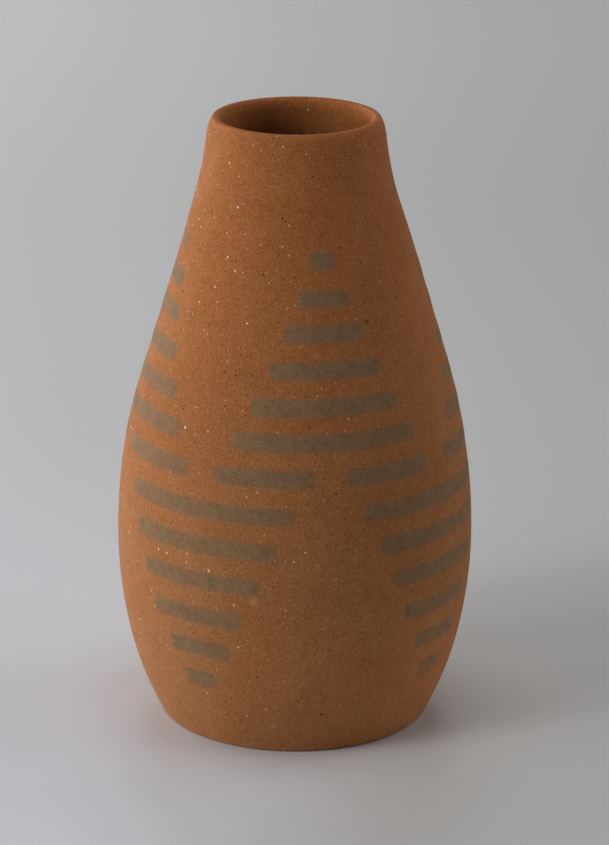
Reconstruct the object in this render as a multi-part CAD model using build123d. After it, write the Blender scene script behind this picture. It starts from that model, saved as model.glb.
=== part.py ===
from build123d import *
from math import radians, tan
import os

# A terracotta jar: one thrown clay body, open at the mouth, with bars of grey slip laid on its wall.
# Lengths are in millimetres and angles in degrees. The jar stands on Z = 0 with its axis on Z.
# Azimuth 0 is the front, on the -Y side, and azimuths grow towards +X.

# Outside of the body. The belly curves over into a straight flank, which curves out into the neck.
height = 250.0
belly_radius = 72.5
foot_radius = 54.6
flank_lean = 16.6
shoulder_sweep = 239.0
neck_radius = 41.2
neck_drop = 34.0
lip_radius = 32.6

# The heel is where the belly's curve tightens towards the foot
heel_width_share = 0.73
heel_height_share = 0.45

# Clay thicknesses, and the cuts at the foot
wall = 5.8
floor = 8.0
floor_bevel = 11.0
foot_bevel = 2.2
standing_width = 9.0
hollow_depth = 1.6

# The lip is a full round of the wall's own thickness, drawn in short straight runs. The wall's rounds
# are drawn in a few arcs each. Both keep the facets few.
lip_runs = 6
round_runs = 2

# Slip bars: level rows, in stepped points that rise above and hang below one middle row
slip_crown = 0.5
slip_gap = 0.05
bar_width = 7.1
top_row_drop = 47.6
bottom_row_height = 32.4
points_around = 4
rising_azimuth = 11.5
tip_half_angle = 6.2
rising_step_angle = 5.5
hanging_step_angle = 5.25
gap_half_angle = 5.2

# How far each row, from the top one down, lies above its even place, as a share of the rows' pitch
row_lift_shares = (0, 0, 0.09, 0.10, 0.13, 0.20, 0.22, 0.17, 0.15, 0.11, 0.02, 0, 0)
# How far each hanging point lies past the middle between two rising ones, as a share of their pitch
hanging_shift_shares = (0, -0.018, 0, 0)
# How far each bar of a point, from its tip to its widest row, lies past the point's axis, as a share of
# the point's step
rising_drift_shares = (0.23, 0.17, 0, 0, 0, 0)
hanging_drift_shares = (-0.10, 0.06, -0.10, 0.03, 0.08, 0.13)

half = 0.5
full_turn = 360.0
half_turn = 180.0
quarter_turn = 90.0
straight_angle = 0.01
search_rounds = 45


def across(direction):
    """The wall's outward normal where it runs up in a direction."""
    return direction.rotate(Axis.Z, -quarter_turn)


def stretch(start, direction, end):
    """The runs of a round or straight stretch of outline that leaves its start in a direction."""
    if direction.get_angle(end - start) < straight_angle:
        return [Line(start, end)]
    arc = TangentArc(start, end, tangent=direction)
    return [arc.trim(k / round_runs, (k + 1) / round_runs) for k in range(round_runs)]


def outline_joints():
    """Where the outside's stretches meet, from the foot to the lip, as (point, direction up the wall)."""
    upward = Vector(0, 1)
    up_flank = upward.rotate(Axis.Z, flank_lean)
    neck = Vector(neck_radius, height - neck_drop)

    # The shoulder's round touches both the belly's upright and the flank's straight run
    corner_height = neck.Y - (belly_radius - neck.X) / tan(radians(flank_lean))
    touch = shoulder_sweep * tan(radians(half * flank_lean))
    belly = Vector(belly_radius, corner_height - touch)
    shoulder = Vector(belly_radius, corner_height) + up_flank * touch

    foot = Vector(foot_radius, 0)
    heel_radius = foot_radius + heel_width_share * (belly_radius - foot_radius)
    heel = Vector(heel_radius, heel_height_share * belly.Y)
    belly_to_heel = TangentArc(belly, heel, tangent=-upward)
    heel_to_foot = TangentArc(heel, foot, tangent=belly_to_heel % 1)

    # The neck's curve is set by the middle of the wall, which ends at the centre of the lip's round
    lip_centre = Vector(lip_radius, height - half * wall)
    middle = TangentArc(neck - across(up_flank) * (half * wall), lip_centre, tangent=up_flank)
    up_lip = middle % 1
    lip = lip_centre + across(up_lip) * (half * wall)
    return [
        (foot, -(heel_to_foot % 1)),
        (heel, -(belly_to_heel % 1)),
        (belly, upward),
        (shoulder, up_flank),
        (neck, up_flank),
        (lip, up_lip),
    ]


def wall_face(joints, depth):
    """The wall's outline at a depth inside its outside, from the foot up."""
    placed = [(point - across(direction) * depth, direction) for point, direction in joints]
    return [run for k in range(len(placed) - 1) for run in stretch(*placed[k], placed[k + 1][0])]


def wall_at(outline, level):
    """The point of an outline at a height, and the direction up the wall there."""
    run = next(run for run in outline if (run @ 1).Y >= level)
    low, high = 0.0, 1.0
    for _ in range(search_rounds):
        middle = half * (low + high)
        if (run @ middle).Y < level:
            low = middle
        else:
            high = middle
    return run @ high, run % high


def above(outline, level):
    """The runs of an outline above a height, the lowest one cut there."""
    start, direction = wall_at(outline, level)
    kept = [run for run in outline if (run @ 1).Y >= level]
    return [TangentArc(start, kept[0] @ 1, tangent=direction), *kept[1:]]


def lip_round(joints):
    """The lip's points from the outside over the top to the inside."""
    lip, direction = joints[-1]
    outward = across(direction) * (half * wall)
    centre = lip - outward
    return [centre + outward.rotate(Axis.Z, half_turn * k / lip_runs) for k in range(lip_runs + 1)]


def body_section(joints):
    """Half section of the clay: underside, standing ring, outside, lip, inside and floor."""
    outside = above(wall_face(joints, 0), foot_bevel)
    inside = above(wall_face(joints, wall), floor + floor_bevel)
    outer_foot, inner_foot = outside[0] @ 0, inside[0] @ 0
    ring = foot_radius - standing_width
    base = Polyline(
        inner_foot,
        (inner_foot.X - floor_bevel, floor),
        (0, floor),
        (0, hollow_depth),
        (ring - hollow_depth, hollow_depth),
        (ring, 0),
        (outer_foot.X - foot_bevel, 0),
        outer_foot,
    )
    lip = Polyline(*lip_round(joints))
    return make_face(Wire([edge for run in (*outside, lip, *inside, base) for edge in run.edges()]))


def jar_body(joints):
    """The one piece of fired clay."""
    return revolve(Plane.XZ * body_section(joints), Axis.Z, full_turn)


def row_heights():
    """Middle height of every row of slip, from the top one down."""
    top = height - top_row_drop
    pitch = (top - bottom_row_height) / (len(row_lift_shares) - 1)
    return [top - pitch * (k - lift) for k, lift in enumerate(row_lift_shares)]


def bar_section(outside, level):
    """Section of one row's slip: its back lies along the wall, and it feathers out to both edges."""
    point, direction = wall_at(outside, level)
    seat = point + across(direction) * slip_gap
    reach = direction * (half * bar_width)
    crown = seat + across(direction) * slip_crown
    return Plane.XZ * make_face(Polyline(seat - reach, seat + reach, crown, close=True))


def bar(section, start, end):
    """One bar of slip, bent round the wall from one azimuth to another."""
    return revolve(section.rotate(Axis.Z, start - quarter_turn), Axis.Z, end - start)


def point_azimuths():
    """Azimuths of the rising points, and of the hanging points between them."""
    pitch = full_turn / points_around
    rising = [rising_azimuth + k * pitch for k in range(points_around)]
    hanging = [azimuth + pitch * (shift - half) for azimuth, shift in zip(rising, hanging_shift_shares)]
    return rising, hanging


def stepped_point(sections, azimuth, step_angle, drift_shares):
    """The bars of one stepped point, from its tip to its widest row."""
    bars = []
    for k, (section, drift) in enumerate(zip(sections, drift_shares)):
        middle = azimuth + drift * step_angle
        reach = tip_half_angle + k * step_angle
        bars.append(bar(section, middle - reach, middle + reach))
    return bars


def middle_bars(section, rising, hanging):
    """The middle row's bars, which leave a gap on the axis of every point."""
    axes = sorted([*rising, *hanging])
    axes.append(axes[0] + full_turn)
    return [
        bar(section, axes[k] + gap_half_angle, axes[k + 1] - gap_half_angle)
        for k in range(len(axes) - 1)
    ]


def slip_nodes(outside):
    """Every group of slip bars under its node's name."""
    sections = [bar_section(outside, level) for level in row_heights()]
    steps = len(sections) // 2
    upper, middle, lower = sections[:steps], sections[steps], sections[:steps:-1]
    rising, hanging = point_azimuths()
    return {
        "slip_rising_points": [
            piece
            for azimuth in rising
            for piece in stepped_point(upper, azimuth, rising_step_angle, rising_drift_shares)
        ],
        "slip_middle_row": middle_bars(middle, rising, hanging),
        "slip_hanging_points": [
            piece
            for azimuth in hanging
            for piece in stepped_point(lower, azimuth, hanging_step_angle, hanging_drift_shares)
        ],
    }


def main():
    joints = outline_joints()
    nodes = {"jar_body": [jar_body(joints)], **slip_nodes(wall_face(joints, 0))}
    os.makedirs("parts", exist_ok=True)
    for name, solids in nodes.items():
        export_step(solids[0] if len(solids) == 1 else Compound(children=solids), f"parts/{name}.step")


main()
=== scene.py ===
from math import atan, atan2, ceil, cos, pi, radians, sin, tan

import bpy
import numpy as np
from mathutils import Matrix, Vector, geometry, noise


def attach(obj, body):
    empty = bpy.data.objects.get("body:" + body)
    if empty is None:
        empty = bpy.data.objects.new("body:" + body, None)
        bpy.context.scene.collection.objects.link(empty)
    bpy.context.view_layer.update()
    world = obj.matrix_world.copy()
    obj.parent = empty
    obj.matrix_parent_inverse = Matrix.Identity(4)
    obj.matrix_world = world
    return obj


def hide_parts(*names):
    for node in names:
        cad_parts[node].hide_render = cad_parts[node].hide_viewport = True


# Looks of a terracotta jar: one thrown clay body, open at the mouth, with bars of grey slip on its wall.
# Sizes are in millimetres here, and are turned into metres where a mesh, material, lamp or camera
# takes them. Angles are in degrees.
# Azimuth 0 is the front, on the -Y side, and azimuths grow towards +X.
MM = 0.001

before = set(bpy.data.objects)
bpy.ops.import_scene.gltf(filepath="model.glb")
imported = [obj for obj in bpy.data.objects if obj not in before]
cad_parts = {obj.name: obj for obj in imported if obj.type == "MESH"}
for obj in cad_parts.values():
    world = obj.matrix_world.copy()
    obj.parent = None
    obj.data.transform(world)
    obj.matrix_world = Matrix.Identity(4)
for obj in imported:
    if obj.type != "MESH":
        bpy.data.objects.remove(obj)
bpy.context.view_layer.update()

# The clay body, as the CAD part has it: a belly that curves over into a straight flank, which curves
# out into the neck, and a heel where the belly's curve tightens towards the foot
HEIGHT = 250.0
BELLY_RADIUS = 72.5
FOOT_RADIUS = 54.6
FLANK_LEAN = 16.6
SHOULDER_SWEEP = 239.0
NECK_RADIUS = 41.2
NECK_DROP = 34.0
LIP_RADIUS = 32.6
HEEL_WIDTH_SHARE = 0.73
HEEL_HEIGHT_SHARE = 0.45
WALL = 5.8
FLOOR = 8.0
FLOOR_BEVEL = 11.0
STANDING_WIDTH = 9.0
HOLLOW_DEPTH = 1.6

# The lip, foot and floor are rounded by hand, softer than a turned edge. The lip starts to round at its
# outer and inner drops below the top. A corner share says how far out the point lies that pulls a round,
# as a share of its size.
TOP_CLEARANCE = 0.05
LIP_OUTER_DROP = 9.0
LIP_INNER_DROP = 4.0
LIP_OUTER_LEAN = 1.0
LIP_CREST_SHARES = (0.30, 0.48)
LIP_CREST_DROP = 0.03
LIP_CREST_SPACING = 0.5
FOOT_ROUND = 1.8
FOOT_CORNER_SHARE = 1 / 3
RING_ROUND = 1.2
RING_CORNER_SHARE = 1 / 2
FLOOR_CORNER_SHARE, FLOOR_REACH_SHARE = 0.25, 1.3

# Slip bars, as the CAD part has them
BAR_WIDTH = 7.1
TOP_ROW_DROP = 47.6
BOTTOM_ROW_HEIGHT = 32.4
POINTS_AROUND = 4
RISING_AZIMUTH = 11.5
TIP_HALF_ANGLE = 6.2
RISING_STEP_ANGLE = 5.5
HANGING_STEP_ANGLE = 5.25
GAP_HALF_ANGLE = 5.2

# How far each row, from the top one down, lies above its even place, as a share of the rows' pitch
ROW_LIFT_SHARES = (0, 0, 0.09, 0.10, 0.13, 0.20, 0.22, 0.17, 0.15, 0.11, 0.02, 0, 0)
# How far each hanging point lies past the middle between two rising ones, as a share of their pitch
HANGING_SHIFT_SHARES = (0, -0.018, 0, 0)
# How far each bar of a point, from its tip to its widest row, lies past the point's axis, as a share of
# the point's step
RISING_DRIFT_SHARES = (0.23, 0.17, 0, 0, 0, 0)
HANGING_DRIFT_SHARES = (-0.10, 0.06, -0.10, 0.03, 0.08, 0.13)

# How finely the meshes are cut
SEGMENTS = 288
OUTSIDE_SPACING = 1.4
INSIDE_SPACING = 3.6
BASE_SPACING = 3.0
ROUND_STEPS = 9
LIP_STEPS = 18
RING_STEPS = 4
SLIP_SPACING = 0.6

FULL_TURN = 360.0
STRAIGHT_TURN = 1e-4
BEZIER_PULL = 0.56


def turned(direction, angle):
    """A flat direction turned anticlockwise by an angle in radians."""
    return Matrix.Rotation(angle, 2) @ direction


def across(direction):
    """The wall's outward normal where it runs up in a direction."""
    return Vector((direction.y, -direction.x))


def round_from(start, direction, end):
    """How the round that leaves start in a direction turns to reach end: (chord, half its turn)."""
    chord = end - start
    return chord, atan2(direction.x * chord.y - direction.y * chord.x, direction.dot(chord))


def round_points(start, direction, end, spacing):
    """Points along a round or straight stretch, without its start."""
    chord, half_turn = round_from(start, direction, end)
    steps = ceil(chord.length / spacing)
    points = []
    for k in range(1, steps + 1):
        share = k / steps
        if abs(half_turn) < STRAIGHT_TURN:
            points.append(start + chord * share)
        else:
            reach = chord.length * sin(share * half_turn) / sin(half_turn)
            points.append(start + turned(direction, share * half_turn) * reach)
    return points


def end_direction(start, direction, end):
    """The direction in which such a stretch arrives."""
    return turned(direction, 2 * round_from(start, direction, end)[1])


def outline_joints():
    """Where the outside's stretches meet, from the foot to the lip, as (point, direction up the wall)."""
    upward = Vector((0, 1))
    up_flank = turned(upward, radians(FLANK_LEAN))
    neck = Vector((NECK_RADIUS, HEIGHT - NECK_DROP))
    corner_height = neck.y - (BELLY_RADIUS - neck.x) / tan(radians(FLANK_LEAN))
    touch = SHOULDER_SWEEP * tan(radians(FLANK_LEAN) / 2)
    belly = Vector((BELLY_RADIUS, corner_height - touch))
    shoulder = Vector((BELLY_RADIUS, corner_height)) + up_flank * touch
    foot = Vector((FOOT_RADIUS, 0))
    heel = Vector((
        FOOT_RADIUS + HEEL_WIDTH_SHARE * (BELLY_RADIUS - FOOT_RADIUS),
        HEEL_HEIGHT_SHARE * belly.y,
    ))
    down_heel = end_direction(belly, -upward, heel)
    down_foot = end_direction(heel, down_heel, foot)
    lip_centre = Vector((LIP_RADIUS, HEIGHT - WALL / 2))
    up_lip = end_direction(neck - across(up_flank) * (WALL / 2), up_flank, lip_centre)
    lip = lip_centre + across(up_lip) * (WALL / 2)
    return [
        (foot, -down_foot),
        (heel, -down_heel),
        (belly, upward),
        (shoulder, up_flank),
        (neck, up_flank),
        (lip, up_lip),
    ]


def wall_points(joints, depth, spacing):
    """Points of the wall's outline at a depth inside its outside, from the foot up."""
    placed = [(point - across(direction) * depth, direction) for point, direction in joints]
    points = [placed[0][0]]
    for (start, direction), (end, _) in zip(placed, placed[1:]):
        points += round_points(start, direction, end, spacing)
    return points


def between(points, low, high):
    """The points that lie between two heights, with the exact ends."""
    kept = [p for p in points if low < p.y < high]
    radii, heights = [p.x for p in points], [p.y for p in points]
    ends = [Vector((float(np.interp(level, heights, radii)), level)) for level in (low, high)]
    return [ends[0], *kept, ends[1]]


def bend(start, corner, end, steps):
    """Points of a soft corner between two ends, without the start."""
    first = start + (corner - start) * BEZIER_PULL
    last = end + (corner - end) * BEZIER_PULL
    return geometry.interpolate_bezier(start, first, last, end, steps + 1)[1:]


def flat_run(start, end, spacing):
    """Points along a straight run, without its start."""
    steps = ceil((end - start).length / spacing)
    return [start + (end - start) * (k / steps) for k in range(1, steps + 1)]


def base_points(outer_foot):
    """The underside's outline, from its middle over the standing ring to just before the outer foot."""
    ring = FOOT_RADIUS - STANDING_WIDTH
    points = [Vector((0, HOLLOW_DEPTH))]
    points += flat_run(points[-1], Vector((ring - HOLLOW_DEPTH - RING_ROUND, HOLLOW_DEPTH)), BASE_SPACING)
    hollow_corner = Vector((ring - RING_ROUND, HOLLOW_DEPTH))
    points += bend(points[-1], hollow_corner, Vector((ring, RING_ROUND)), RING_STEPS)
    ring_corner = Vector((ring + RING_ROUND * RING_CORNER_SHARE, 0))
    points += bend(points[-1], ring_corner, Vector((ring + 2 * RING_ROUND, 0)), RING_STEPS)
    points += flat_run(points[-1], Vector((outer_foot.x - FOOT_ROUND, 0)), BASE_SPACING)
    foot_corner = Vector((outer_foot.x - FOOT_ROUND * FOOT_CORNER_SHARE, 0))
    return points + bend(points[-1], foot_corner, outer_foot, ROUND_STEPS)[:-1]


def lip_points(outer, inner, top):
    """The lip's outline from the outside to the inside of the wall, without either end.

    Its crest is nearly flat and lies a little inside of the wall's middle, and both sides round over.
    """
    width = outer.x - inner.x
    inner_crest = Vector((inner.x + LIP_CREST_SHARES[0] * width, top))
    outer_crest = Vector((inner.x + LIP_CREST_SHARES[1] * width, top - LIP_CREST_DROP))
    fall = (outer_crest - inner_crest) / (outer_crest.x - inner_crest.x)
    outer_corner = outer_crest + fall * (outer.x - LIP_OUTER_LEAN - outer_crest.x)
    points = bend(outer, outer_corner, outer_crest, LIP_STEPS)
    points += flat_run(outer_crest, inner_crest, LIP_CREST_SPACING)
    return points + bend(inner_crest, Vector((inner.x, top)), inner, LIP_STEPS)[:-1]


def floor_points(wall_end):
    """The floor's outline, from the wall's lowest point, which is left out, to its middle."""
    corner = Vector((wall_end.x - FLOOR_BEVEL * FLOOR_CORNER_SHARE, FLOOR))
    edge = Vector((wall_end.x - FLOOR_BEVEL * FLOOR_REACH_SHARE, FLOOR))
    points = bend(wall_end, corner, edge, ROUND_STEPS)
    return points + flat_run(points[-1], Vector((0, FLOOR)), BASE_SPACING)


def body_profile():
    """The clay's whole outline, from the middle of the underside round to the middle of the floor.

    Returns the points, how many come before the outside wall, and how many before the inside one.
    """
    joints = outline_joints()
    top = HEIGHT - TOP_CLEARANCE
    outside = between(wall_points(joints, 0, OUTSIDE_SPACING), FOOT_ROUND, top - LIP_OUTER_DROP)
    inside = between(wall_points(joints, WALL, INSIDE_SPACING), FLOOR + FLOOR_BEVEL, top - LIP_INNER_DROP)
    inside.reverse()
    base = base_points(outside[0])
    lip = lip_points(outside[-1], inside[0], top)
    points = [*base, *outside, *lip, *inside, *floor_points(inside[-1])]
    return points, len(base), len(base) + len(outside) + len(lip)


def profile_arrays(points):
    """Radii, heights and unit normals of an outline, as arrays."""
    flat = np.array([[p.x, p.y] for p in points])
    run = np.gradient(flat, axis=0)
    run[0] = flat[1] - flat[0]
    run[-1] = flat[-1] - flat[-2]
    run /= np.linalg.norm(run, axis=1)[:, None]
    normals = np.stack([run[:, 1], -run[:, 0]], axis=1)
    return flat, normals


# Hand-made unevenness: a slow wobble, dents, throwing rings and the fingers' spiral inside, each with
# its depth and its size or pitch. They only take clay away, so that the jar stays inside its CAD box, and
# the shoulder, well inside that box, stands a little to one side of the axis.
SHOULDER_SHIFT = 0.6
SHIFT_HEIGHTS = (105.0, 160.0, 195.0, 222.0)
WOBBLE_DEPTH, WOBBLE_SIZE = 0.13, 58.0
DENT_DEPTH, DENT_SIZE = 0.07, 9.0
RING_DEPTH, RING_PITCH, RING_REACH = 0.05, 2.9, 40.0
THROW_DEPTH, THROW_PITCH, THROW_START = 0.40, 8.5, 16.0
THROW_PATCH_SIZE, THROW_UNEVENNESS = 25.0, 0.4


def smooth_share(value, low, high):
    """0 below low, 1 above high, and a smooth step between them."""
    share = min(max((value - low) / (high - low), 0), 1)
    return share * share * (3 - 2 * share)


def hollow_noise(x, y, z):
    """Smooth noise from -1 to 0 at a point, with lumps of about 1."""
    return 0.5 * noise.noise(Vector((x, y, z))) - 0.5


def axis_shift(z):
    """How far the clay's middle stands to the right of the axis at a height, in millimetres."""
    start, full, last, end = SHIFT_HEIGHTS
    return SHOULDER_SHIFT * smooth_share(z, start, full) * (1 - smooth_share(z, last, end))


def outside_lift(x, y, z):
    """How far the outside stands off its turned outline at a point, in millimetres."""
    wobble = WOBBLE_DEPTH * hollow_noise(x / WOBBLE_SIZE, y / WOBBLE_SIZE, z / WOBBLE_SIZE)
    dents = DENT_DEPTH * hollow_noise(x / DENT_SIZE, y / DENT_SIZE, (z + HEIGHT) / DENT_SIZE)
    rings = RING_DEPTH * hollow_noise(x / RING_REACH, y / RING_REACH, z / RING_PITCH)
    return wobble + dents + rings


def inside_lift(x, y, z, azimuth):
    """The same for the inside, where the thrower's fingers left a soft spiral below the lip."""
    spiral = 0.5 * (sin(2 * pi * z / THROW_PITCH + azimuth) - 1)
    patches = noise.noise(Vector((x, y, z)) / THROW_PATCH_SIZE)
    strength = 1 - THROW_UNEVENNESS + THROW_UNEVENNESS * patches
    fade = smooth_share(HEIGHT - z, 0, THROW_START)
    return outside_lift(x, y, z) + THROW_DEPTH * spiral * strength * fade


def moved_off(angle, place, normal, lift):
    """A point of the turned clay, lifted along its normal and shifted sideways as the clay is there.

    Its place is a radius and a height, and the normal lies in their plane.
    """
    reach = place[0] + lift * normal[0]
    return (
        reach * sin(angle) + axis_shift(place[1]),
        -reach * cos(angle),
        place[1] + lift * normal[1],
    )


def make_piece(name, points, faces):
    """A smooth mesh object from points in millimetres."""
    mesh = bpy.data.meshes.new(name)
    mesh.from_pydata((np.asarray(points) * MM).tolist(), [], faces)
    mesh.validate()
    mesh.shade_smooth()
    piece = bpy.data.objects.new(name, mesh)
    bpy.context.scene.collection.objects.link(piece)
    return piece


def turned_faces(rings):
    """Faces between rings of vertices, with one vertex before the first ring and one after the last."""
    faces = []
    last = 1 + (rings - 1) * SEGMENTS
    for k in range(SEGMENTS):
        after = (k + 1) % SEGMENTS
        faces.append((0, 1 + after, 1 + k))
        for low in range(1, last, SEGMENTS):
            high = low + SEGMENTS
            faces.append((low + k, low + after, high + after, high + k))
        faces.append((last + k, last + after, last + SEGMENTS))
    return faces


def jar_body():
    """The clay body, turned from its outline and made uneven."""
    profile, outside_start, inside_start = body_profile()
    flat, normals = profile_arrays(profile)
    angles = [2 * pi * k / SEGMENTS for k in range(SEGMENTS)]

    points = [(0, 0, flat[0][1])]
    for j in range(1, len(flat) - 1):
        radius, height = flat[j]
        for angle in angles:
            x, y = radius * sin(angle), -radius * cos(angle)
            if j < outside_start:
                lift = 0.0
            elif j < inside_start:
                lift = outside_lift(x, y, height)
            else:
                lift = inside_lift(x, y, height, angle)
            points.append(moved_off(angle, flat[j], normals[j], lift))
    points.append((0, 0, flat[-1][1]))
    return make_piece("jar_clay", points, turned_faces(len(flat) - 2))


# Slip: a thin coat that stands a little off the clay and sinks into it round its soft edge, with its back
# deeper in the clay. The edge's waves are (depth, size), and the jitters are how far each bar strays.
SLIP_THICKNESS = 0.11
SLIP_SINK = 0.03
SLIP_BACK = 0.35
EDGE_MARGIN = 2.1
EDGE_SOFTNESS = 1.7
CORNER_RADIUS = 1.8
EDGE_WAVES = ((0.18, 2.6), (0.12, 0.9))
END_JITTER, WIDTH_JITTER, TILT_JITTER = 0.15, 0.10, 0.004
SLIP_SEED = 11


def row_heights():
    """Middle height of every row of slip, from the top one down."""
    top = HEIGHT - TOP_ROW_DROP
    pitch = (top - BOTTOM_ROW_HEIGHT) / (len(ROW_LIFT_SHARES) - 1)
    return [top - pitch * (k - lift) for k, lift in enumerate(ROW_LIFT_SHARES)]


def stepped_point(heights, azimuth, step_angle, drift_shares):
    """The bars of one stepped point, from its tip, as (height, first azimuth, last azimuth)."""
    bars = []
    for k, (height, drift) in enumerate(zip(heights, drift_shares)):
        middle = azimuth + drift * step_angle
        reach = TIP_HALF_ANGLE + k * step_angle
        bars.append((height, middle - reach, middle + reach))
    return bars


def slip_bars():
    """Every bar of slip, under the name of the CAD node that it stands for."""
    heights = row_heights()
    steps = len(heights) // 2
    pitch = FULL_TURN / POINTS_AROUND
    rising = [RISING_AZIMUTH + k * pitch for k in range(POINTS_AROUND)]
    hanging = [azimuth + pitch * (shift - 0.5) for azimuth, shift in zip(rising, HANGING_SHIFT_SHARES)]
    axes = sorted([*rising, *hanging])
    axes.append(axes[0] + FULL_TURN)
    upper, lower = heights[:steps], heights[:steps:-1]
    return {
        "slip_rising_points": [
            bar
            for azimuth in rising
            for bar in stepped_point(upper, azimuth, RISING_STEP_ANGLE, RISING_DRIFT_SHARES)
        ],
        "slip_middle_row": [
            (heights[steps], first + GAP_HALF_ANGLE, last - GAP_HALF_ANGLE)
            for first, last in zip(axes, axes[1:])
        ],
        "slip_hanging_points": [
            bar
            for azimuth in hanging
            for bar in stepped_point(lower, azimuth, HANGING_STEP_ANGLE, HANGING_DRIFT_SHARES)
        ],
    }


class Wall:
    """The outside's outline, looked up by the distance along it."""

    def __init__(self):
        self.flat, self.normals = profile_arrays(wall_points(outline_joints(), 0, OUTSIDE_SPACING / 2))
        steps = np.linalg.norm(np.diff(self.flat, axis=0), axis=1)
        self.along = np.concatenate([[0], np.cumsum(steps)])

    def distance(self, height):
        """The distance along the outline at a height."""
        return float(np.interp(height, self.flat[:, 1], self.along))

    def at(self, distance):
        """The place, as radius and height, and the normal."""
        columns = (*self.flat.T, *self.normals.T)
        radius, height, out, up = [float(np.interp(distance, self.along, column)) for column in columns]
        return (radius, height), (out, up)


def rounded_distance(u, v, half_length, half_width):
    """Distance outside a rounded rectangle's edge, negative inside it."""
    out_u, out_v = abs(u) - half_length + CORNER_RADIUS, abs(v) - half_width + CORNER_RADIUS
    corner = (max(out_u, 0) ** 2 + max(out_v, 0) ** 2) ** 0.5
    return corner + min(max(out_u, out_v), 0) - CORNER_RADIUS


def grid_steps(half_size):
    """Even steps across a bar, with a margin past both its edges."""
    reach = half_size + EDGE_MARGIN
    return np.linspace(-reach, reach, 2 + ceil(2 * reach / SLIP_SPACING))


def bar_surface(wall, bar, draw):
    """One bar's front points, its back points, the cover at each, and its grid's columns and rows."""
    height, first, last = bar
    centre = wall.distance(height)
    middle_radius = wall.at(centre)[0][0]
    middle = radians(first + last) / 2 + draw.uniform(-1, 1) * END_JITTER / middle_radius
    half_length = radians(last - first) / 2 * middle_radius + draw.uniform(-1, 1) * END_JITTER
    half_width = BAR_WIDTH / 2 + draw.uniform(-1, 1) * WIDTH_JITTER
    tilt = draw.uniform(-1, 1) * TILT_JITTER

    lengths, widths = grid_steps(half_length), grid_steps(half_width)
    fronts, backs, covers = [], [], []
    for v in widths:
        for u in lengths:
            angle = middle + u / middle_radius
            place, normal = wall.at(centre + v + tilt * u)
            point = Vector((place[0] * sin(angle), -place[0] * cos(angle), place[1]))
            edge = rounded_distance(u, v, half_length, half_width)
            edge += sum(depth * noise.noise(point / size) for depth, size in EDGE_WAVES)
            cover = smooth_share(-edge, -EDGE_SOFTNESS, EDGE_SOFTNESS)
            sunk = outside_lift(*point) - SLIP_SINK
            front = sunk + (SLIP_SINK + SLIP_THICKNESS) * cover
            fronts.append(moved_off(angle, place, normal, front))
            backs.append(moved_off(angle, place, normal, sunk - SLIP_BACK))
            covers.append(cover)
    return fronts, backs, covers, len(lengths), len(widths)


def closed_grid(columns, rows, first):
    """Faces of a front and a back grid joined round their edge. first is the front's first vertex."""
    count = columns * rows
    faces = []
    for j in range(rows - 1):
        for i in range(columns - 1):
            a = first + j * columns + i
            faces.append((a, a + 1, a + columns + 1, a + columns))
            faces.append((a + count, a + count + columns, a + count + columns + 1, a + count + 1))
    rim = [first + i for i in range(columns)]
    rim += [first + j * columns + columns - 1 for j in range(1, rows)]
    rim += [first + (rows - 1) * columns + i for i in range(columns - 2, -1, -1)]
    rim += [first + j * columns for j in range(rows - 2, 0, -1)]
    for a, b in zip(rim, [*rim[1:], rim[0]]):
        faces.append((b, a, a + count, b + count))
    return faces


def slip_piece(name, bars, wall, draw):
    """All bars of one node as one mesh. Its cover attribute says how thick the coat is at each point."""
    points, faces, covers = [], [], []
    for bar in bars:
        fronts, backs, cover, columns, rows = bar_surface(wall, bar, draw)
        faces += closed_grid(columns, rows, len(points))
        points += [*fronts, *backs]
        covers += [*cover, *cover]
    piece = make_piece(name, points, faces)
    layer = piece.data.attributes.new("cover", "FLOAT", "POINT")
    layer.data.foreach_set("value", covers)
    return piece


def colour(red, green, blue):
    """A colour given by its sRGB display values, from 0 to 255, as the shaders take it."""
    shares = [value / 255 for value in (red, green, blue)]
    return [s / 12.92 if s <= 0.04045 else ((s + 0.055) / 1.055) ** 2.4 for s in shares] + [1.0]


# Noise of this size and reach shakes a speck's rim, as shares of its radius. Up to its core's share of
# that radius it is full, and each speck draws its own size and strength between a least share and 1.
SHAKE_SIZE_SHARE, SHAKE_REACH_SHARE = 1.8, 0.7
CORE_SHARE, LEAST_SIZE_SHARE, LEAST_STRENGTH = 0.4, 0.4, 0.3


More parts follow.
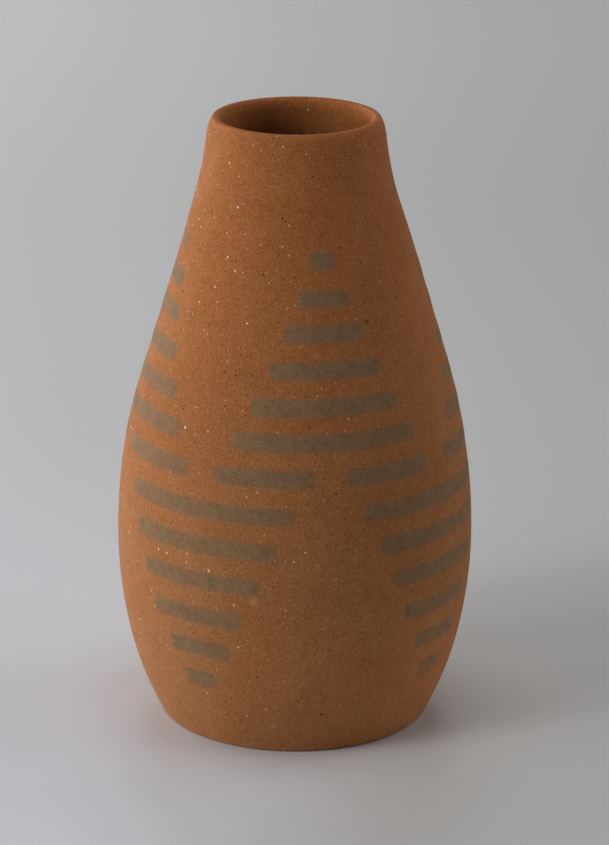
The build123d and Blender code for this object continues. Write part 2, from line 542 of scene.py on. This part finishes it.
class Graph:
    """A material whose nodes are added one by one. A value that is another node's output is linked."""

    def __init__(self, name):
        self.material = bpy.data.materials.new(name)
        self.material.use_nodes = True
        self.tree = self.material.node_tree
        self.shader = self.tree.nodes["Principled BSDF"]
        self.place = self.node("TexCoord").outputs["Object"]

    def feed(self, socket, value):
        """Links a socket to another node's output, or sets it to a number or colour."""
        if isinstance(value, bpy.types.NodeSocket):
            self.tree.links.new(value, socket)
        else:
            socket.default_value = value

    def node(self, kind, inputs=None, **settings):
        """A new node with its settings made and its inputs fed."""
        made = self.tree.nodes.new("ShaderNode" + kind)
        for name, value in settings.items():
            setattr(made, name, value)
        for name, value in (inputs or {}).items():
            self.feed(made.inputs[name], value)
        return made

    def maths(self, operation, *values):
        """The result of one operation on numbers."""
        return self.node("Math", dict(enumerate(values)), operation=operation).outputs[0]

    def mixed(self, factor, first, second, blend="MIX"):
        """A share of the second colour over the first. The sockets of a colour mix go by number."""
        inputs = {0: factor, 6: first, 7: second}
        return self.node("Mix", inputs, data_type="RGBA", blend_type=blend).outputs[2]

    def spread(self, value, low, high, to_low=0.0, to_high=1.0):
        """A smooth step from to_low to to_high while a value goes from low to high."""
        inputs = {"Value": value, "From Min": low, "From Max": high}
        inputs |= {"To Min": to_low, "To Max": to_high}
        return self.node("MapRange", inputs, interpolation_type="SMOOTHSTEP").outputs[0]

    def along(self, axis, low, high, to_low=0.0, to_high=1.0):
        """A smooth step between two places on one axis of the jar, in millimetres."""
        place = self.node("SeparateXYZ", {"Vector": self.place}).outputs[axis]
        return self.spread(place, low * MM, high * MM, to_low, to_high)

    def mottle(self, size, detail=3.0, roughness=0.55):
        """Noise from 0 to 1 with lumps of about one size, in millimetres."""
        inputs = {"Vector": self.place, "Scale": 1 / (size * MM)}
        inputs |= {"Detail": detail, "Roughness": roughness}
        return self.node("TexNoise", inputs).outputs["Fac"]

    def shaken(self, size, reach):
        """The place moved about by noise, so that round things turn ragged. Both are in millimetres."""
        inputs = {"Vector": self.place, "Scale": 1 / (size * MM), "Detail": 1.0}
        shake = self.node("TexNoise", inputs).outputs["Color"]
        inputs = {0: shake, 1: (2 * reach * MM,) * 3, 2: self.place}
        return self.node("VectorMath", inputs, operation="MULTIPLY_ADD").outputs[0]

    def specks(self, size, radius, kept):
        """Ragged specks of uneven size and strength, in a share of cells of one size in millimetres."""
        shaken = self.shaken(SHAKE_SIZE_SHARE * radius, SHAKE_REACH_SHARE * radius)
        cells = self.node("TexVoronoi", {"Vector": shaken, "Scale": 1 / (size * MM)}, feature="F1")
        draw = self.node("SeparateColor", {"Color": cells.outputs["Color"]}).outputs
        rim = self.spread(draw["Green"], 0, 1, LEAST_SIZE_SHARE * radius / size, radius / size)
        inside = self.spread(self.maths("DIVIDE", cells.outputs["Distance"], rim), 1, CORE_SHARE)
        strength = self.spread(draw["Blue"], 0, 1, LEAST_STRENGTH, 1)
        chosen = self.maths("LESS_THAN", draw["Red"], kept)
        return self.maths("MULTIPLY", self.maths("MULTIPLY", inside, strength), chosen)


# Colours of the clay and the slip
CLAY = colour(159, 103, 58)
CLAY_PALE = colour(165, 109, 64)
CLAY_RED = colour(152, 95, 52)
CLAY_DARK = colour(104, 59, 28)
# Near white for the pale grog grains, made this bright partly as a painted glint.
GROG_AND_GLINT = colour(248, 228, 198)
PIT = colour(56, 30, 18)
SMUDGE = colour(196, 146, 116)
SLIP = colour(135, 105, 76)
SLIP_DARK = colour(126, 98, 70)

# Factors on those colours, and where along the height or to the right they start and are full
TOP_WARMTH, TOP_HEIGHTS = (1.0, 0.86, 0.74, 1.0), (50, 220)
# The lip's factor is painted light: it makes the top of the lip paler, in place of light from above.
LIP_PAINTED_LIGHT, LIP_HEIGHTS = (1.16, 1.12, 1.17, 1.0), (247.4, 249.6)
# The low right factor is painted bounce light from the floor on the low right of the wall.
LOW_PAINTED_BOUNCE, LOW_HEIGHTS, LOW_RIGHT = (1.22, 1.16, 1.12, 1.0), (90, 30), (-30, 40)

# A pale smudge on the low front. Its rim and its full core are shares of its radius.
SMUDGE_PLACE = (-16.2, -70.5, 70.5)
SMUDGE_RADIUS = 3.0
SMUDGE_RIM_SHARE, SMUDGE_CORE_SHARE = 1.6, 0.5
SMUDGE_STRENGTH = 0.45

# Mottling, as (size of its lumps in millimetres, detail, roughness)
CLOUDS = (30, 4)
BLOTCHES = (5, 4)
COARSE_GRIT, FINE_GRIT = (0.95, 3, 0.7), (0.42, 2, 0.7)
COARSE_SHARE = 0.3
LUMPS = (2.4, 2)
DRY_PATCHES = (3, 3)
SLIP_CLOUDS = (4, 4)
SLIP_GRIT = (0.5, 3, 0.7)
SLIP_WEAR = (1.6, 3)

# How a mottling becomes a share of a tint, as (its value where the tint starts, its value where the tint
# is full, least share, full share), with shares of 0 and 1 where none are given
CLOUD_SHARES = (0.35, 0.65)
BLOTCH_SHARES = (0.42, 0.72, 0, 0.5)
DARK_GRIT_SHARES = (0.49, 0.64, 0, 0.66)
PALE_GRIT_SHARES = (0.48, 0.34, 0, 0.15)
SLIP_CLOUD_SHARES = (0.38, 0.68)
SLIP_DARK_GRIT_SHARES = (0.5, 0.72, 0, 0.8)
SLIP_PALE_GRIT_SHARES = (0.46, 0.3, 0, 0.11)
SLIP_WEAR_SHARES = (0.6, 0.8, 0, 0.3)
COAT_SHARES = (0.12, 0.88)

# How the dry patches become a roughness, in the same way
CLAY_ROUGHNESS = (0.3, 0.7, 0.82, 0.96)
SLIP_ROUGHNESS = (0.3, 0.7, 0.86, 0.97)

# Specks, as (size of their cells, radius, share of the cells that hold one), in millimetres
PITS, NICKS = (5.5, 0.80, 0.30), (2.1, 0.50, 0.27)
GRAINS, DUST = (3.9, 0.63, 0.46), (1.7, 0.42, 0.26)
SLIP_PITS = (2.6, 0.5, 0.2)
DUST_STRENGTH, SLIP_PIT_STRENGTH = 0.8, 0.8

# The pale specks fade to the right and towards the foot, as (place where they are faintest, place where
# they are full, faintest share, full share). Their fade to the right is painted glint on the lit left
# side.
PAINTED_GLINT_ACROSS = (45, -15, 0.2, 1)
PALE_UP = (30, 90, 0.45, 1)

# Relief: how high the grit and the pale specks stand and how deep the dark ones lie, with the lumps as
# 1, and the height of the whole in millimetres
GRIT_RELIEF, PIT_RELIEF, GRAIN_RELIEF = 1.6, 1.5, 0.5
CLAY_RELIEF, SLIP_RELIEF = 0.15, 0.12

# How a dry, matte surface reflects
MATTE_SPECULAR = 0.1
BLOOM, BLOOM_ROUGHNESS = 0.04, 0.5


def with_painted_bounce_low_right(graph, tone):
    """A tone with the low right of the jar a little paler, as painted bounce light from the floor."""
    share = graph.maths("MULTIPLY", graph.along("Z", *LOW_HEIGHTS), graph.along("X", *LOW_RIGHT))
    return graph.mixed(share, tone, LOW_PAINTED_BOUNCE, "MULTIPLY")


def smudged(graph, tone, coarse):
    """A tone with the pale smudge on it, whose rim follows the coarse grit."""
    place = [value * MM for value in SMUDGE_PLACE]
    away = graph.node("VectorMath", {0: graph.place, 1: place}, operation="DISTANCE").outputs["Value"]
    radius = SMUDGE_RADIUS * MM
    away = graph.maths("ADD", away, graph.maths("MULTIPLY", coarse, radius))
    share = graph.spread(away, SMUDGE_RIM_SHARE * radius, SMUDGE_CORE_SHARE * radius, 0, SMUDGE_STRENGTH)
    return graph.mixed(share, tone, SMUDGE)


def clay_specks(graph):
    """The clay's dark specks and its pale ones, which fade to the right as painted glints on the lit
    side.
    """
    dark = graph.maths("MAXIMUM", graph.specks(*PITS), graph.specks(*NICKS))
    dust = graph.maths("MULTIPLY", graph.specks(*DUST), DUST_STRENGTH)
    pale = graph.maths("MAXIMUM", graph.specks(*GRAINS), dust)
    # Painted glint: the pale specks fade away from the lit left side.
    pale = graph.maths("MULTIPLY", pale, graph.along("X", *PAINTED_GLINT_ACROSS))
    return dark, graph.maths("MULTIPLY", pale, graph.along("Z", *PALE_UP))


def clay_looks(graph):
    """The clay's colour, with painted light and glints in it, and its fine relief, as two outputs."""
    tone = graph.mixed(graph.spread(graph.mottle(*CLOUDS), *CLOUD_SHARES), CLAY, CLAY_PALE)
    tone = graph.mixed(graph.spread(graph.mottle(*BLOTCHES), *BLOTCH_SHARES), tone, CLAY_RED)
    coarse, fine = graph.mottle(*COARSE_GRIT), graph.mottle(*FINE_GRIT)
    fine_part = graph.maths("MULTIPLY", fine, 1 - COARSE_SHARE)
    grit = graph.maths("MULTIPLY_ADD", coarse, COARSE_SHARE, fine_part)
    tone = graph.mixed(graph.spread(grit, *DARK_GRIT_SHARES), tone, CLAY_DARK)
    tone = graph.mixed(graph.spread(grit, *PALE_GRIT_SHARES), tone, GROG_AND_GLINT)
    tone = graph.mixed(graph.along("Z", *TOP_HEIGHTS), tone, TOP_WARMTH, "MULTIPLY")
    # Painted light on the top of the lip.
    tone = graph.mixed(graph.along("Z", *LIP_HEIGHTS), tone, LIP_PAINTED_LIGHT, "MULTIPLY")
    tone = smudged(graph, with_painted_bounce_low_right(graph, tone), coarse)
    dark, pale = clay_specks(graph)
    tone = graph.mixed(pale, graph.mixed(dark, tone, PIT), GROG_AND_GLINT)

    relief = graph.maths("ADD", graph.mottle(*LUMPS), graph.maths("MULTIPLY", grit, GRIT_RELIEF))
    relief = graph.maths("SUBTRACT", relief, graph.maths("MULTIPLY", dark, PIT_RELIEF))
    relief = graph.maths("ADD", relief, graph.maths("MULTIPLY", pale, GRAIN_RELIEF))
    return tone, relief


def matte(graph, tone, relief, roughness, height):
    """The graph's material as a dry, matte surface with a faint bloom at its limbs."""
    shader = graph.shader.inputs
    graph.feed(shader["Base Color"], tone)
    graph.feed(shader["Roughness"], roughness)
    graph.feed(shader["Specular IOR Level"], MATTE_SPECULAR)
    graph.feed(shader["Sheen Weight"], BLOOM)
    graph.feed(shader["Sheen Roughness"], BLOOM_ROUGHNESS)
    bump = graph.node("Bump", {"Strength": 1.0, "Distance": height * MM, "Height": relief})
    graph.feed(shader["Normal"], bump.outputs["Normal"])
    return graph.material


def clay_material():
    """Fired terracotta with grit, pits and pale specks in it."""
    graph = Graph("clay")
    tone, relief = clay_looks(graph)
    roughness = graph.spread(graph.mottle(*DRY_PATCHES), *CLAY_ROUGHNESS)
    return matte(graph, tone, relief, roughness, CLAY_RELIEF)


def slip_coat(graph):
    """How much of the clay the slip hides, from its thickness and its wear."""
    cover = graph.node("Attribute", attribute_type="GEOMETRY", attribute_name="cover").outputs["Fac"]
    wear = graph.spread(graph.mottle(*SLIP_WEAR), *SLIP_WEAR_SHARES)
    coat = graph.maths("SUBTRACT", graph.spread(cover, *COAT_SHARES), wear)
    return graph.node("Clamp", {"Value": coat}).outputs[0]


def slip_material():
    """Grey-brown slip that lets the clay show through where it is thin or worn."""
    graph = Graph("slip")
    clay_tone, relief = clay_looks(graph)
    tone = graph.mixed(graph.spread(graph.mottle(*SLIP_CLOUDS), *SLIP_CLOUD_SHARES), SLIP, SLIP_DARK)
    grit = graph.mottle(*SLIP_GRIT)
    tone = graph.mixed(graph.spread(grit, *SLIP_DARK_GRIT_SHARES), tone, CLAY_DARK)
    tone = graph.mixed(graph.spread(grit, *SLIP_PALE_GRIT_SHARES), tone, GROG_AND_GLINT)
    tone = graph.mixed(graph.maths("MULTIPLY", graph.specks(*SLIP_PITS), SLIP_PIT_STRENGTH), tone, PIT)
    # The slip takes the same painted bounce light on the low right.
    tone = graph.mixed(slip_coat(graph), clay_tone, with_painted_bounce_low_right(graph, tone))
    roughness = graph.spread(graph.mottle(*DRY_PATCHES), *SLIP_ROUGHNESS)
    return matte(graph, tone, relief, roughness, SLIP_RELIEF)


def jar():
    """The clay body and its slip."""
    body = jar_body()
    body.data.materials.append(clay_material())
    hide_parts("jar_body")
    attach(body, "root")

    wall = Wall()
    draw = np.random.default_rng(SLIP_SEED)
    coat = slip_material()
    for node_name, bars in slip_bars().items():
        piece = slip_piece(node_name.replace("slip_", "slip_coat_"), bars, wall, draw)
        piece.data.materials.append(coat)
        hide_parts(node_name)
        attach(piece, "root")


# The stage: a pale sheet that runs under the jar and curves up behind it
FLOOR_FRONT, FLOOR_BACK, SHEET_HALF_WIDTH = 3600, 2900, 3600
SWEEP_RADIUS, SWEEP_STEPS, SHEET_TOP = 700, 24, 2600
SHEET_ROUGHNESS, SHEET_SPECULAR = 0.5, 0.5

# The sheet's colours at the jar, behind it and far back, and between which places they turn from the left
# one to the right one and from each to the next. Their changes are painted light and shade: the sheet is
# lighter on the left, towards the lamps, darker on the right, and lighter far back.
FLOOR_LEFT, FLOOR_RIGHT, FLOOR_TURN = colour(221, 224, 231), colour(199, 198, 197), (-100, 60)
BACK_LEFT, BACK_RIGHT, BACK_TURN = colour(219, 220, 222), colour(193, 194, 193), (-300, 300)
FAR_LEFT, FAR_RIGHT, FAR_TURN = colour(231, 232, 234), colour(209, 211, 209), (-350, 350)
FLOOR_TO_BACK, BACK_TO_FAR = (-100, 450), (700, 1500)


def sheet_material():
    """The pale sheet, with painted shade that darkens it to the right and painted light far back."""
    graph = Graph("stage_sheet")
    front = graph.mixed(graph.along("X", *FLOOR_TURN), FLOOR_LEFT, FLOOR_RIGHT)
    back = graph.mixed(graph.along("X", *BACK_TURN), BACK_LEFT, BACK_RIGHT)
    far = graph.mixed(graph.along("X", *FAR_TURN), FAR_LEFT, FAR_RIGHT)
    tone = graph.mixed(graph.along("Y", *FLOOR_TO_BACK), front, back)
    tone = graph.mixed(graph.along("Y", *BACK_TO_FAR), tone, far)
    graph.feed(graph.shader.inputs["Base Color"], tone)
    graph.feed(graph.shader.inputs["Roughness"], SHEET_ROUGHNESS)
    graph.feed(graph.shader.inputs["Specular IOR Level"], SHEET_SPECULAR)
    return graph.material


def stage():
    """The floor and backdrop in one sheet."""
    profile = [(-FLOOR_FRONT, 0), (FLOOR_BACK, 0)]
    for k in range(1, SWEEP_STEPS + 1):
        turn = pi / 2 * k / SWEEP_STEPS
        profile.append((FLOOR_BACK + SWEEP_RADIUS * sin(turn), SWEEP_RADIUS * (1 - cos(turn))))
    profile.append((FLOOR_BACK + SWEEP_RADIUS, SHEET_TOP))
    points = [(side * SHEET_HALF_WIDTH, y, z) for y, z in profile for side in (-1, 1)]
    faces = [(2 * k, 2 * k + 1, 2 * k + 3, 2 * k + 2) for k in range(len(profile) - 1)]
    sheet = make_piece("stage_sheet", points, faces)
    sheet.data.materials.append(sheet_material())


# How far the lamps stand from the jar's middle, the widths and heights of their faces, and the strength
# of the world's own light
LAMP_DISTANCE = 2400
SOFT_BOX, STRIP, PANE = (1200, 1200), (1200, 400), (600, 600)
WORLD_STRENGTH = 0.005


def lamp(name, azimuth, elevation, power, shape=SOFT_BOX):
    """A lamp aimed at the jar's middle, with its power in watts."""
    light = bpy.data.lights.new(name, "AREA")
    light.shape = "RECTANGLE"
    light.size, light.size_y = shape[0] * MM, shape[1] * MM
    light.energy = power
    holder = bpy.data.objects.new(name, light)
    bpy.context.scene.collection.objects.link(holder)
    turn, rise = radians(azimuth), radians(elevation)
    away = Vector((sin(turn) * cos(rise), -cos(turn) * cos(rise), sin(rise)))
    holder.location = (Vector((0, 0, HEIGHT / 2)) + away * LAMP_DISTANCE) * MM
    holder.rotation_mode = "QUATERNION"
    holder.rotation_quaternion = away.to_track_quat("Z", "Y")


def lights():
    """Window light and low strips on the left, weak fills on the other sides and above, a faint world."""
    lamp("window", -62, 25, 9.4, PANE)
    lamp("window_front", -48, 15, 5.7, PANE)
    lamp("window_high", -55, 35, 7.5, PANE)
    lamp("window_left", -80, 15, 9.1, PANE)
    lamp("low_window", -70, 6, 5.7, STRIP)
    lamp("low_left", -110, 6, 19, STRIP)
    lamp("low_back", -135, 6, 20.7, STRIP)
    lamp("fill_right", 80, 20, 11.3)
    lamp("back_right", 115, 25, 11.2)
    lamp("back", 180, 35, 5.1)
    lamp("top", 0, 85, 8.6)
    world = bpy.data.worlds.new("studio")
    world.use_nodes = True
    background = world.node_tree.nodes["Background"].inputs
    background["Color"].default_value = (1, 1, 1, 1)
    background["Strength"].default_value = WORLD_STRENGTH
    bpy.context.scene.world = world


# The camera, as the photograph has it: pixels are those of its 609 x 845 frame, and the sensor's size is
# that of its longer side
FRAME_WIDTH, FRAME_HEIGHT = 609, 845
CAMERA_DISTANCE = 1550.0
CAMERA_PITCH = 18.11
CAMERA_ROLL = 0.24
FOCAL_PIXELS = 3814.1
AIM_X, AIM_Y = 295.2, 415.0
SENSOR = 36.0


def camera():
    """A camera aimed so that the jar's middle shows at the aim pixel."""
    pitch = radians(CAMERA_PITCH)
    forward = Vector((0, cos(pitch), -sin(pitch)))
    up = Vector((0, sin(pitch), cos(pitch)))
    right = Vector((1, 0, 0))
    place = Vector((0, 0, HEIGHT / 2)) - forward * CAMERA_DISTANCE
    tilt = atan((AIM_Y - FRAME_HEIGHT / 2) / FOCAL_PIXELS)
    pan = atan((AIM_X - FRAME_WIDTH / 2) / FOCAL_PIXELS)
    raised, lifted = forward * cos(tilt) + up * sin(tilt), up * cos(tilt) - forward * sin(tilt)
    view = raised * cos(pan) - right * sin(pan)
    side = raised * sin(pan) + right * cos(pan)
    roll = radians(CAMERA_ROLL)
    right_axis = side * cos(roll) + lifted * sin(roll)
    up_axis = lifted * cos(roll) - side * sin(roll)

    lens = bpy.data.cameras.new("camera")
    lens.sensor_width = SENSOR
    lens.lens = FOCAL_PIXELS * SENSOR / FRAME_HEIGHT
    holder = bpy.data.objects.new("camera", lens)
    turn = Matrix((right_axis, up_axis, -view)).transposed().to_4x4()
    holder.matrix_world = Matrix.Translation(place * MM) @ turn
    bpy.context.scene.collection.objects.link(holder)
    bpy.context.scene.camera = holder


jar()
stage()
lights()
camera()
bpy.context.scene.view_settings.view_transform = "Standard"
